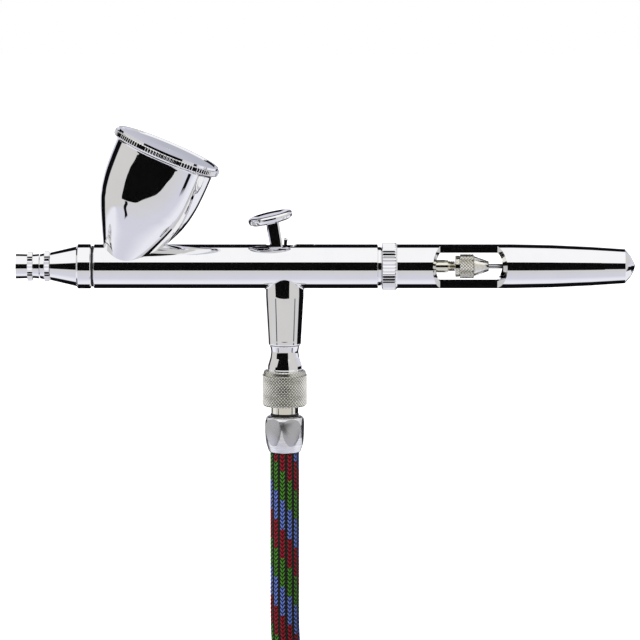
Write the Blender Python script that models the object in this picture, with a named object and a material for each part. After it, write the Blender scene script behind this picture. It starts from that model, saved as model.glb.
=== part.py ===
"""A gravity-feed, dual-action airbrush with its braided air hose, built as an assembly of separate pieces.

The frame is in metres, +Z up. The origin is where the barrel's axis meets the air valve's axis. +X runs along
the barrel to the handle. Sizes in this file are in millimetres until MM turns them into metres.
"""
import math

import bmesh
import bpy
from mathutils import Matrix, Vector

MM = 0.001
WELD = 1e-7

# Barrel, along X
BARREL_R = 5.63
BARREL_FRONT = -48.6
BARREL_REAR = 23.8
SPIGOT_R = 4.7
SPIGOT_REAR = 29.5
MAIN_BORE_R = 4.1
CHAMBER_R = 3.4
CHAMBER_FRONT = -13.0
CHAMBER_REAR = 6.0
PACKING_BORE_R = 2.4
PACKING_SEAT = -33.0
CHANNEL_R = 1.5
SOCKET_R = 4.3
SOCKET_END = -45.4

# Air valve, along Z under the barrel
BOSS_R = 4.86
BOSS_FOOT = -20.1
WELL_R = 2.4
WELL_FLOOR = -7.0
GUIDE_R = 1.45
GUIDE_FLOOR = -8.0
STACK_R = 2.3
STACK_FLOOR = -12.0
CASING_BORE_R = 3.3
NUT_TOP = -26.8
NUT_FOOT = -35.2
NUT_R = 5.73
NECK_R = 3.48

# Colour cup, about an axis that leans back from the barrel
CUP_LEAN = math.radians(23.0)
CUP_MOUTH = (-29.8, 0.0, 29.5)
FEED_R = 1.6

# Window in the handle: half the width of the strips above and below it
WINDOW_STRIP = 1.75

# Trigger
PIVOT = (0.0, 0.0, -3.4)
PAD_CENTRE = (-3.63, 0.0, 12.48)
PAD_R = 5.8
PAD_TILT = math.radians(-13.0)
LEVER_PIN = (2.6, 0.0, -1.4)

# Air hose
HOSE_D = 7.36
HOSE_R = HOSE_D / 2
HOSE_TOP = -47.8
FLOOR = -135.6
COIL_BASE = FLOOR + 0.6
COIL_X = 35.0
COIL_Y = -45.0
COIL_OUTER = 45.0
COIL_INNER = 37.6
COIL_LAYERS = 3
COIL_CHAMFER = 1.8
CLEARANCE = 0.3
LAST_STEPS = 10
TIE_GAP = 0.1
TIE_SIDE_GAP = 1.0
TIE_THICK = 0.5
TIE_CHAMFER = 1.2
TIE_HALF = 6.0
COIL_TOP = COIL_BASE + COIL_LAYERS * HOSE_D
END_X = 33.0
END_Z = COIL_TOP + CLEARANCE + NUT_R
HOSE_ROUTE = [
    (0.0, 0.0, HOSE_TOP), (0.0, 0.0, -55.8), (0.0, 0.0, -64.1), (0.0, 0.0, -72.4), (0.0, 0.0, -80.7),
    (0.0, 0.0, -89.0), (0.2, 0.0, -96.5), (1.0, 0.0, -103.6), (3.0, 0.0, -110.3), (4.6, 0.0, -113.6),
]

ALONG_X = Matrix.Rotation(math.pi / 2, 4, "Y")
ALONG_Z = Matrix.Identity(4)


def clear_scene():
    for obj in list(bpy.data.objects):
        bpy.data.objects.remove(obj)


def finish(name, colour, roughness, metallic):
    material = bpy.data.materials.new(name)
    material.use_nodes = True
    shader = material.node_tree.nodes["Principled BSDF"]
    shader.inputs["Base Color"].default_value = (*colour, 1.0)
    shader.inputs["Roughness"].default_value = roughness
    shader.inputs["Metallic"].default_value = metallic
    material.diffuse_color = (*colour, 1.0)
    return material


def new_object(name, bm, material, place=ALONG_Z):
    """An object from a bmesh, with its round surfaces shaded smooth."""
    bmesh.ops.recalc_face_normals(bm, faces=bm.faces)
    mesh = bpy.data.meshes.new(name)
    bm.to_mesh(mesh)
    bm.free()
    mesh.shade_smooth()
    mesh.set_sharp_from_angle(angle=math.radians(30))
    if material:
        mesh.materials.append(material)
    obj = bpy.data.objects.new(name, mesh)
    obj.matrix_world = place
    bpy.context.scene.collection.objects.link(obj)
    return obj


def at(x, y, z):
    return Matrix.Translation(Vector((x, y, z)) * MM)


def turned(name, outline, material=None, place=ALONG_X, segments=24):
    """A piece turned about its local Z. The outline holds (along, radius) points in millimetres. It is open
    where both ends lie on the axis, and closed otherwise."""
    bm = bmesh.new()
    points = [bm.verts.new((radius * MM, 0.0, along * MM)) for along, radius in outline]
    edges = [bm.edges.new(pair) for pair in zip(points, points[1:])]
    if outline[0][1] > 0:
        edges.append(bm.edges.new((points[-1], points[0])))
    bmesh.ops.spin(
        bm, geom=points + edges, cent=(0, 0, 0), axis=(0, 0, 1), angle=2 * math.pi, steps=segments,
        use_merge=True,
    )
    bmesh.ops.remove_doubles(bm, verts=bm.verts, dist=WELD)
    return new_object(name, bm, material, place)


def plate(name, outline, half_width, material=None, pivot=(0.0, 0.0, 0.0)):
    """A flat piece in the XZ plane, this thick each way along Y, with its origin at the pivot."""
    bm = bmesh.new()
    near = [bm.verts.new(((x - pivot[0]) * MM, -half_width * MM, (z - pivot[2]) * MM)) for x, z in outline]
    face = bm.faces.new(near)
    grown = bmesh.ops.extrude_face_region(bm, geom=[face])
    far = [element for element in grown["geom"] if isinstance(element, bmesh.types.BMVert)]
    bmesh.ops.translate(bm, verts=far, vec=(0.0, 2 * half_width * MM, 0.0))
    return new_object(name, bm, material, at(*pivot))


def block(name, low, high, material=None):
    bm = bmesh.new()
    bmesh.ops.create_cube(bm, size=1.0)
    size = Vector(high) - Vector(low)
    middle = (Vector(high) + Vector(low)) / 2
    bmesh.ops.scale(bm, verts=bm.verts, vec=size * MM)
    bmesh.ops.translate(bm, verts=bm.verts, vec=middle * MM)
    return new_object(name, bm, material)


def rod(name, radius, low, high, place, segments=16):
    return turned(name, [(low, 0.0), (low, radius), (high, radius), (high, 0.0)], None, place, segments)


def boolean(obj, helper, operation="DIFFERENCE"):
    """Joins the helper to the object or cuts it away. The helper itself is not part of the model."""
    helper.hide_render = True
    helper.display_type = "WIRE"
    modifier = obj.modifiers.new(helper.name, "BOOLEAN")
    modifier.operation = operation
    modifier.object = helper


def smooth_path(points, steps):
    """Points along a smooth curve through the given ones, with this many steps between each two."""
    points = [Vector(point) for point in points]
    ends = [2 * points[0] - points[1], *points, 2 * points[-1] - points[-2]]
    path = []
    for a, b, c, d in zip(ends, ends[1:], ends[2:], ends[3:]):
        for step in range(steps):
            t = step / steps
            path.append(
                b + 0.5 * ((c - a) * t + (2 * a - 5 * b + 4 * c - d) * t**2 + (3 * b - a - 3 * c + d) * t**3)
            )
    return path + [points[-1]]


def tube(name, points, radius, material, resolution):
    """A round bar along the points, as a curve with a bevel and filled caps."""
    curve = bpy.data.curves.new(name, "CURVE")
    curve.dimensions = "3D"
    curve.bevel_depth = radius * MM
    curve.bevel_resolution = resolution
    curve.use_fill_caps = True
    spline = curve.splines.new("POLY")
    spline.points.add(len(points) - 1)
    for point, place in zip(spline.points, points):
        point.co = (*(Vector(place) * MM), 1.0)
    curve.materials.append(material)
    obj = bpy.data.objects.new(name, curve)
    bpy.context.scene.collection.objects.link(obj)
    return obj


def coil_spring(name, low, high, radius, turns, wire, material, upright):
    """A compression spring along Z if upright, or along X."""
    per_turn = 8
    points = []
    for step in range(turns * per_turn + 1):
        angle = 2 * math.pi * step / per_turn
        along = low + (high - low) * step / (turns * per_turn)
        across = (radius * math.cos(angle), radius * math.sin(angle))
        points.append((*across, along) if upright else (along, *across))
    return tube(name, points, wire, material, 0)


# ---------------------------------------------------------------- barrel, head and cup


def build_body_shell(chrome):
    barrel = [
        (BARREL_FRONT, 0.0), (BARREL_FRONT, BARREL_R - 0.2), (BARREL_FRONT + 0.2, BARREL_R),
        (BARREL_REAR - 0.2, BARREL_R), (BARREL_REAR, BARREL_R - 0.2), (BARREL_REAR, 5.3), (24.55, 5.3),
        (24.55, SPIGOT_R), (SPIGOT_REAR, SPIGOT_R), (SPIGOT_REAR, 0.0),
    ]
    shell = turned("body_shell", barrel, chrome)
    boss = [
        (BOSS_FOOT, 0.0), (BOSS_FOOT, 4.0), (BOSS_FOOT + 0.3, 4.17), (-18.9, 4.2), (-7.6, BOSS_R),
        (-2.8, BOSS_R), (-2.8, 0.0),
    ]
    boolean(shell, turned("boss_form", boss, None, ALONG_Z), "UNION")
    bore = [
        (BARREL_FRONT - 1, 0.0), (BARREL_FRONT - 1, SOCKET_R), (SOCKET_END, SOCKET_R),
        (SOCKET_END, CHANNEL_R), (PACKING_SEAT, CHANNEL_R), (PACKING_SEAT, PACKING_BORE_R),
        (CHAMBER_FRONT, PACKING_BORE_R), (CHAMBER_FRONT, CHAMBER_R), (CHAMBER_REAR, CHAMBER_R),
        (CHAMBER_REAR, MAIN_BORE_R), (SPIGOT_REAR + 1, MAIN_BORE_R), (SPIGOT_REAR + 1, 0.0),
    ]
    boolean(shell, turned("bore_cutter", bore))
    stack = [
        (BOSS_FOOT - 1, 0.0), (BOSS_FOOT - 1, CASING_BORE_R), (STACK_FLOOR, CASING_BORE_R),
        (STACK_FLOOR, STACK_R), (GUIDE_FLOOR, STACK_R), (GUIDE_FLOOR, GUIDE_R), (WELL_FLOOR, GUIDE_R),
        (WELL_FLOOR, WELL_R), (-1.0, WELL_R), (-1.0, 0.0),
    ]
    boolean(shell, turned("valve_bore_cutter", stack, None, ALONG_Z))
    boolean(shell, block("stem_cutter", (-4.6, -2.2, 1.0), (2.9, 2.2, 9.0)))
    boolean(shell, block("slot_cutter", (0.5, -1.1, 1.0), (7.95, 1.1, 9.0)))
    lean = at(*CUP_MOUTH) @ Matrix.Rotation(CUP_LEAN, 4, "Y")
    boolean(shell, rod("feed_cutter", FEED_R, -32.0, -20.0, lean))
    boolean(shell, rod("air_passage_cutter", 0.5, -50.0, -3.4, at(0, 0, -4.75) @ ALONG_X, 12))
    boolean(shell, rod("air_drop_cutter", 0.55, -12.6, -4.6, at(-3.5, 0, 0), 12))


def build_cup(chrome):
    lean = at(*CUP_MOUTH) @ Matrix.Rotation(CUP_LEAN, 4, "Y")
    outline = [
        (-31.0, 4.5), (-25.0, 7.6), (-21.8, 9.25), (-19.5, 10.35), (-17.2, 11.3), (-15.5, 11.8),
        (-13.9, 12.2), (-10.5, 12.7), (-6.0, 12.95), (-1.7, 13.0), (-1.4, 12.7), (-1.4, 12.05),
        (-1.7, 11.95), (-13.0, 11.4), (-15.4, 10.75), (-22.5, 7.2), (-25.5, FEED_R), (-31.0, FEED_R),
    ]
    cup = turned("fluid_cup", outline, chrome, lean)
    seat = BARREL_R + 0.1
    boolean(cup, rod("cup_seat_cutter", seat, -62.0, -15.0, ALONG_X, 24))
    lid = [
        (-1.15, 13.9), (-0.75, 14.3), (0.75, 14.3), (1.0, 14.0), (1.0, 12.6), (0.7, 12.2), (0.7, 0.5),
        (-0.1, 0.5), (-0.1, 10.9), (-2.4, 10.9), (-2.4, 11.7), (-1.15, 11.7),
    ]
    turned("cup_lid", lid, chrome, lean)


def build_head(chrome, brass, steel, rubber):
    base = [
        (-59.7, 3.5), (-53.24, 5.04), (-53.0, 5.1), (-52.85, 5.3), (-52.6, 5.68), (-50.1, 5.68),
        (-49.8, 5.4), (-49.8, 4.2), (-45.55, 4.2), (-45.55, CHANNEL_R), (-53.1, CHANNEL_R),
        (-53.1, 2.15), (-56.5, 2.15), (-56.5, 2.6), (-59.7, 2.6),
    ]
    turned("head_base", base, chrome)
    turned("head_seal", [(-49.6, 4.4), (-48.8, 4.4), (-48.8, 5.2), (-49.6, 5.2)], rubber, ALONG_X, 24)
    nozzle = [
        (-65.0, 0.34), (-65.0, 0.5), (-56.4, 1.85), (-56.4, 2.03), (-53.3, 2.03), (-53.3, 0.95),
        (-56.0, 0.78),
    ]
    turned("fluid_nozzle", nozzle, brass, ALONG_X, 16)
    cap = [
        (-64.5, 0.95), (-64.5, 2.05), (-62.3, 2.05), (-62.3, 3.1), (-61.24, 3.33), (-61.1, 3.78),
        (-59.9, 3.78), (-59.85, 2.48), (-57.3, 2.48), (-57.3, 2.15), (-60.5, 1.85),
    ]
    turned("nozzle_cap", cap, chrome, ALONG_X, 24)
    guard = [
        (-68.45, 2.25), (-68.45, 3.15), (-65.5, 3.07), (-65.45, 3.66), (-64.15, 3.66), (-64.1, 3.0),
        (-62.5, 3.15), (-62.5, 2.25),
    ]
    turned("needle_cap", guard, chrome, ALONG_X, 24)
    needle = [(-67.6, 0.0), (-66.9, 0.08), (-56.0, 0.59), (61.4, 0.59), (62.0, 0.3), (62.0, 0.0)]
    turned("needle", needle, steel, ALONG_X, 12)


def build_packing(brass, ptfe):
    packing = [(-32.9, 0.72), (-32.9, 2.28), (-30.4, 2.28), (-30.4, 0.72)]
    turned("needle_packing", packing, ptfe, ALONG_X, 16)
    screw = [(-30.2, 0.8), (-30.2, 2.28), (-25.0, 2.28), (-25.0, 0.8)]
    packing_screw = turned("packing_screw", screw, brass, ALONG_X, 16)
    boolean(packing_screw, block("driver_slot_cutter", (-26.0, -3.0, -0.45), (-24.0, 3.0, 0.45)))


# ---------------------------------------------------------------- trigger and needle drive


def build_trigger(chrome, steel):
    px, _, pz = PIVOT
    foot = [
        (px + math.cos(angle), pz + math.sin(angle))
        for angle in [math.radians(180 + 22.5 * step) for step in range(9)]
    ]
    outline = foot + [
        (px + 1.0, -2.3), (px + 0.9, -2.1), (-0.43, 4.9), (-0.9, 7.2), (-1.6, 11.1), (-1.9, 12.1),
        (-5.1, 12.1), (-4.6, 11.1), (-3.5, 5.2), (-1.75, -2.1), (-1.0, -2.3),
    ]
    trigger = plate("trigger", outline, 1.6, chrome, PIVOT)
    for side in (-1, 1):
        low = (-3.0, side * 2.0 - 1.4, -5.0)
        high = (3.0, side * 2.0 + 1.4, -2.2)
        boolean(trigger, block("foot_cutter_%d" % (side + 2), low, high))
    boolean(trigger, block("needle_slot_cutter", (-5.0, -0.8, -1.4), (4.0, 0.8, 3.5)))
    pad = [
        (-1.15, 0.0), (-1.15, 4.9), (-0.7, 5.5), (-0.1, PAD_R), (0.4, PAD_R), (0.8, 5.5), (0.95, 5.0),
        (0.65, 3.2), (0.45, 0.0),
    ]
    tilt = at(*PAD_CENTRE) @ Matrix.Rotation(PAD_TILT, 4, "Y")
    boolean(trigger, turned("pad_form", pad, None, tilt, 24), "UNION")
    across = at(*PIVOT) @ Matrix.Rotation(math.pi / 2, 4, "X")
    boolean(trigger, rod("pin_hole_cutter", 0.45, -3.0, 3.0, across, 12))
    pin = [(-1.5, 0.0), (-1.5, 0.35), (1.5, 0.35), (1.5, 0.0)]
    turned("trigger_pin", pin, steel, across, 12)


def build_piston(steel):
    outline = [
        (-12.4, 0.0), (-12.4, 0.7), (-10.9, 0.7), (-10.9, 1.3), (-5.3, 1.3), (-4.9, 2.0), (-2.5, 2.0),
        (-2.5, 0.0),
    ]
    piston = turned("air_piston", outline, steel, ALONG_Z, 16)
    boolean(piston, block("yoke_cutter", (-3.0, -0.75, -4.7), (3.0, 0.75, -1.0)))
    across = at(*PIVOT) @ Matrix.Rotation(math.pi / 2, 4, "X")
    boolean(piston, rod("yoke_hole_cutter", 0.45, -3.0, 3.0, across, 12))


def build_needle_drive(chrome, nickel, brass, steel):
    guide = [
        (17.0, 3.0), (17.0, 4.0), (29.4, 4.0), (29.6, 3.4), (34.0, 3.4), (34.0, 1.75), (32.6, 1.75),
        (32.6, 3.0),
    ]
    turned("spring_guide", guide, brass, ALONG_X, 24)
    shank = [
        (5.7, 0.75), (5.7, 3.2), (7.6, 3.2), (7.6, 1.6), (41.65, 1.6), (41.65, 1.33), (43.35, 1.33),
        (43.35, 0.75),
    ]
    chuck_guide = turned("chuck_guide", shank, nickel, ALONG_X, 16)
    for side in (-1, 1):
        low = (1.7, side * 1.85 - 0.3, -2.0)
        high = (6.2, side * 1.85 + 0.3, -0.8)
        boolean(chuck_guide, block("ear_form_%d" % (side + 2), low, high), "UNION")
    across = at(*LEVER_PIN) @ Matrix.Rotation(math.pi / 2, 4, "X")
    boolean(chuck_guide, rod("ear_hole_cutter", 0.42, -3.0, 3.0, across, 12))
    turned("aux_lever_pin", [(-2.1, 0.0), (-2.1, 0.32), (2.1, 0.32), (2.1, 0.0)], steel, across, 12)
    nut = [
        (43.5, 0.75), (43.5, 2.6), (43.6, 2.7), (44.5, 2.7), (44.6, 2.5), (44.7, 3.07), (48.15, 3.07),
        (48.25, 2.6), (52.0, 1.24), (52.0, 0.75),
    ]
    turned("chuck_nut", nut, nickel, ALONG_X, 24)
    lever = [
        (3.35, -1.0), (3.2, 0.2), (2.65, 1.6), (1.35, 3.3), (0.55, 4.9), (0.75, 6.9), (0.6, 7.2),
        (0.3, 7.3), (0.0, 7.2), (-0.12, 6.9), (-0.25, 4.9), (0.1, 3.5), (1.2, 1.6), (1.8, 0.2),
        (1.85, -1.2), (2.1, -2.0), (2.6, -2.2), (3.1, -2.0),
    ]
    aux = plate("aux_lever", lever, 1.35, chrome, LEVER_PIN)
    boolean(aux, block("lever_needle_cutter", (-1.0, -0.8, -0.85), (5.0, 0.8, 0.85)))
    for side in (-1, 1):
        low = (-2.0, side * 1.9 - 1.0, 3.0)
        high = (3.0, side * 1.9 + 1.0, 8.0)
        boolean(aux, block("finger_cutter_%d" % (side + 2), low, high))
    boolean(aux, rod("lever_hole_cutter", 0.42, -3.0, 3.0, across, 12))
    coil_spring("needle_spring", 8.0, 32.2, 2.25, 10, 0.3, steel, False)


def build_handle(chrome):
    """The handle, with a window milled from both sides so that a strip is left at the top and the bottom."""
    outer = [
        (24.7, 0.0), (24.7, 5.5), (24.95, 6.0), (28.4, 6.0), (28.66, BARREL_R), (58.0, BARREL_R),
        (68.0, 5.42), (78.0, 4.95), (86.7, 4.37), (88.2, 2.6), (89.0, 1.1), (89.3, 0.0),
    ]
    handle = turned("handle", outer, chrome)
    bore = [
        (81.0, 0.0), (80.0, 1.5), (60.5, 1.5), (59.0, 4.05), (31.0, 4.05), (31.0, 4.8), (24.0, 4.8),
        (24.0, 0.0),
    ]
    boolean(handle, turned("handle_bore_cutter", bore))
    window = [(37.3, 6.5), (39.6, WINDOW_STRIP), (54.2, WINDOW_STRIP), (57.2, 6.5)]
    upright = Matrix.Rotation(math.pi / 2, 4, "X")
    for side in (-1, 1):
        cutter = plate("window_cutter_%d" % (side + 2), [(x, -side * y) for x, y in window], 7.0)
        cutter.matrix_world = upright
        boolean(handle, cutter)


# ---------------------------------------------------------------- air valve and hose fittings


def build_valve(chrome, brass, ptfe, rubber, steel):
    packing = [(-8.8, 1.4), (-8.8, 2.2), (-8.1, 2.2), (-8.1, 1.4)]
    turned("piston_packing", packing, ptfe, ALONG_Z, 16)
    guide = [(-11.6, 1.42), (-11.6, 2.2), (-8.9, 2.2), (-8.9, 1.42)]
    turned("valve_guide_screw", guide, brass, ALONG_Z, 16)
    casing = [
        (-32.6, 2.25), (-32.6, 4.3), (-32.3, 4.5), (-26.5, 4.5), (-26.3, 4.35), (-25.5, 4.35),
        (-23.4, 3.7), (-21.9, 3.5), (-20.5, 3.75), (-20.25, 4.0), (-20.2, 3.2), (-12.7, 3.2),
        (-12.7, 0.95), (-14.2, 0.95), (-14.2, 2.25),
    ]
    turned("valve_casing", casing, chrome, ALONG_Z, 24)
    plunger = [(-16.5, 0.0), (-16.5, 1.75), (-14.95, 1.75), (-14.95, 0.65), (-12.5, 0.65), (-12.5, 0.0)]
    turned("valve_plunger", plunger, brass, ALONG_Z, 16)
    seal = [(-14.85, 0.8), (-14.85, 1.6), (-14.3, 1.6), (-14.3, 0.8)]
    turned("valve_seal", seal, rubber, ALONG_Z, 16)
    coil_spring("valve_spring", -29.6, -16.95, 1.4, 6, 0.25, steel, True)
    screw = [(-32.5, 0.9), (-32.5, 2.12), (-30.0, 2.12), (-30.0, 0.9)]
    turned("valve_spring_screw", screw, brass, ALONG_Z, 16)


def build_fitting(prefix, place, nickel, satin, rubber, spun_by):
    """A hose end: gasket, nipple, ring, swivel nut and hexagonal compression nut. Its local Z runs along the
    hose, with the free end of the nut up."""
    nut = [
        (NUT_FOOT, 3.7), (NUT_FOOT, 5.4), (NUT_FOOT + 0.35, NUT_R), (NUT_TOP - 0.35, NUT_R),
        (NUT_TOP, 5.4), (NUT_TOP, 4.65), (-34.5, 4.65), (-34.5, 3.7),
    ]
    turned(prefix + "swivel_nut", nut, nickel, place, 24)
    gasket = [(-33.6, 2.0), (-33.6, 4.3), (-32.8, 4.3), (-32.8, 2.0)]
    turned(prefix + "gasket", gasket, rubber, place, 16)
    nipple = [
        (-47.3, 1.0), (-47.3, 1.9), (-38.35, 1.9), (-38.35, NECK_R), (-34.35, NECK_R), (-34.35, 4.4),
        (-33.7, 4.4), (-33.7, 1.0),
    ]
    turned(prefix + "nipple", nipple, nickel, place, 24)
    ring = [(-38.9, 2.1), (-38.9, 3.6), (-38.45, 3.6), (-38.45, 2.1)]
    turned(prefix + "nipple_ring", ring, rubber, place, 24)
    hexagon = [
        (-47.5, 2.8), (-47.5, 4.0), (-46.6, 4.55), (-41.0, 5.1), (-39.9, 5.1), (-39.0, 4.5),
        (-39.0, 2.8),
    ]
    turned(prefix + "compression_nut", hexagon, satin, place @ Matrix.Rotation(spun_by, 4, "Z"), 6)


def coil_section():
    """The outline of the wound turns: a rectangle with chamfered corners, as (along, radius) points."""
    low = COIL_BASE
    high = COIL_TOP
    inner = COIL_INNER - HOSE_R
    outer = COIL_OUTER + HOSE_R
    return [
        (low, inner + COIL_CHAMFER), (low, outer - COIL_CHAMFER), (low + COIL_CHAMFER, outer),
        (high - COIL_CHAMFER, outer), (high, outer - COIL_CHAMFER), (high, inner + COIL_CHAMFER),
        (high - COIL_CHAMFER, inner), (low + COIL_CHAMFER, inner),
    ]


def last_turn():
    """The end of the hose: it lies on the coil, and rises to the height of its fitting's middle."""
    points = []
    lying = COIL_TOP + CLEARANCE + HOSE_R
    for step in range(LAST_STEPS + 1):
        share = step / LAST_STEPS
        angle = math.radians(70.0 - 160.0 * share)
        across = (COIL_INNER * math.cos(angle), COIL_INNER * math.sin(angle))
        points.append((COIL_X + across[0], COIL_Y + across[1], lying + share**2 * (END_Z - lying)))
    return points + [(END_X + CLEARANCE, COIL_Y - COIL_INNER, END_Z)]


def build_hose(braid, strap):
    tube("air_hose", smooth_path(HOSE_ROUTE, 2), HOSE_R, braid, 3)
    turned("hose_coil", coil_section(), braid, at(COIL_X, COIL_Y, 0.0), 28)
    tube("hose_end", last_turn(), HOSE_R, braid, 2)
    build_tie(strap)


def build_tie(strap):
    """A band round the coil's turns, where they pass furthest to -X."""
    bm = bmesh.new()
    loops = []
    for grow in (0.0, TIE_THICK):
        low = COIL_BASE - TIE_GAP - grow
        high = COIL_TOP + TIE_GAP + grow
        west = COIL_X - COIL_OUTER - HOSE_R - TIE_SIDE_GAP - grow
        east = COIL_X - COIL_INNER + HOSE_R + TIE_SIDE_GAP + grow
        section = [
            (west + TIE_CHAMFER, low), (east - TIE_CHAMFER, low), (east, low + TIE_CHAMFER),
            (east, high - TIE_CHAMFER), (east - TIE_CHAMFER, high), (west + TIE_CHAMFER, high),
            (west, high - TIE_CHAMFER), (west, low + TIE_CHAMFER),
        ]
        for y in (COIL_Y - TIE_HALF, COIL_Y + TIE_HALF):
            loops.append([bm.verts.new((x * MM, y * MM, z * MM)) for x, z in section])
    inner_near, inner_far, outer_near, outer_far = loops
    sides = [
        (inner_near, inner_far), (outer_near, outer_far), (inner_near, outer_near),
        (inner_far, outer_far),
    ]
    for one, other in sides:
        for step in range(len(one)):
            after = (step + 1) % len(one)
            bm.faces.new((one[step], one[after], other[after], other[step]))
    new_object("coil_tie", bm, strap)


def main():
    clear_scene()
    chrome = finish("chrome", (0.82, 0.83, 0.85), 0.08, 1.0)
    nickel = finish("nickel", (0.72, 0.68, 0.60), 0.25, 1.0)
    satin = finish("satin_steel", (0.58, 0.58, 0.60), 0.45, 1.0)
    brass = finish("brass", (0.71, 0.55, 0.28), 0.3, 1.0)
    steel = finish("steel", (0.60, 0.61, 0.62), 0.25, 1.0)
    ptfe = finish("ptfe", (0.90, 0.90, 0.88), 0.5, 0.0)
    rubber = finish("rubber", (0.02, 0.02, 0.02), 0.6, 0.0)
    braid = finish("braid", (0.05, 0.06, 0.05), 0.8, 0.0)
    strap = finish("strap", (0.03, 0.03, 0.035), 0.9, 0.0)
    build_body_shell(chrome)
    build_cup(chrome)
    build_head(chrome, brass, steel, rubber)
    build_packing(brass, ptfe)
    build_trigger(chrome, steel)
    build_piston(steel)
    build_needle_drive(chrome, nickel, brass, steel)
    build_handle(chrome)
    build_valve(chrome, brass, ptfe, rubber, steel)
    build_fitting("hose_", ALONG_Z, nickel, satin, rubber, math.radians(-38))
    far_end = at(END_X - 47.5, COIL_Y - COIL_INNER, END_Z) @ Matrix.Rotation(-math.pi / 2, 4, "Y")
    build_fitting("far_", far_end, nickel, satin, rubber, math.radians(30))
    build_hose(braid, strap)


main()
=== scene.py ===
"""Looks of the airbrush gun: polished metal, knurls, threads, the braided hose at its real length, and the
studio around it. Sizes are in millimetres until MM turns them into metres."""
import math

import bmesh
import bpy
import numpy as np
from mathutils import Matrix, Vector


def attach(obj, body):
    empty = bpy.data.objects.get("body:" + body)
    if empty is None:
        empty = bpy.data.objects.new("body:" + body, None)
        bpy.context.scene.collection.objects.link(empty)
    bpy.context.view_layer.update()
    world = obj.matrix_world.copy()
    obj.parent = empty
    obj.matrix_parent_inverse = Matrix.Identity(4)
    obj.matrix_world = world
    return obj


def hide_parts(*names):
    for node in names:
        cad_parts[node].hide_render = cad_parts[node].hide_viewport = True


MM = 0.001
ALONG_X = Matrix.Rotation(math.pi / 2, 4, "Y")
UPRIGHT = Matrix.Identity(4)
ACROSS = Matrix.Rotation(math.pi / 2, 4, "X")

# Camera and studio
VIEW_CENTRE = (9.03, 0.0, -13.85)
VIEW_WIDTH = 163.3
VIEW_DISTANCE = 1500.0
VIEW_ELEVATION = math.radians(8.0)
SENSOR = 36.0
FLAG_AWAY = 250.0
FLAG_LEFT = -614.0
FLAG_RIGHT = 137.0
FLAG_FOOT = -68.0
FLAG_TOP = 130.0

# Barrel, valve boss and cup, as in the CAD
BARREL_R = 5.63
BOSS_R = 4.86
CUP_LEAN = math.radians(23.0)
CUP_MOUTH = (-29.8, 0.0, 29.5)
PIVOT = (0.0, 0.0, -3.4)
LEVER_PIN = (2.6, 0.0, -1.4)
PAD_CENTRE = (-3.63, 0.0, 12.48)
PAD_TILT = math.radians(-13.0)
NUT_TOP = -26.8
NUT_FOOT = -35.9
NUT_R = 5.73
NECK_R = 3.48
NUT_TEETH = 42
CHUCK_R = 3.07
CHUCK_TEETH = 24

# Hose
HOSE_D = 7.36
HOSE_EXIT = -47.5
FLOOR = -135.6
COIL_BASE = FLOOR + 0.6
COIL_X, COIL_Y = 35.0, -45.0
COIL_OUTER = 45.0
COIL_INNER = 37.6
COIL_TOP = COIL_BASE + 3 * HOSE_D
END_X = 33.0
END_Z = COIL_TOP + 0.3 + NUT_R
RIBS = 12
RIB_TURN = math.radians(-9.0)
STITCH = 1.05

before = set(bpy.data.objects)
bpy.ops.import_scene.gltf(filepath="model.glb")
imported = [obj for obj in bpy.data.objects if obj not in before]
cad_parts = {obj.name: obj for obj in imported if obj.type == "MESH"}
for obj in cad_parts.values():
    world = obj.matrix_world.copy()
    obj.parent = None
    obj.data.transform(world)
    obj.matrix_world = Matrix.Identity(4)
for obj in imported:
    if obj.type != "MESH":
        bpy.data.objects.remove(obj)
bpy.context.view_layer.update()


# ---------------------------------------------------------------- camera and studio


def build_camera():
    camera = bpy.data.objects.new("camera", bpy.data.cameras.new("camera"))
    bpy.context.scene.collection.objects.link(camera)
    centre = Vector(VIEW_CENTRE) * MM
    back = Vector((0.0, -math.cos(VIEW_ELEVATION), math.sin(VIEW_ELEVATION)))
    camera.location = centre + back * VIEW_DISTANCE * MM
    camera.rotation_euler = back.to_track_quat("Z", "Y").to_euler()
    camera.data.sensor_width = SENSOR
    camera.data.lens = SENSOR * VIEW_DISTANCE / VIEW_WIDTH
    camera.data.clip_start = 0.01
    bpy.context.scene.camera = camera


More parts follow.
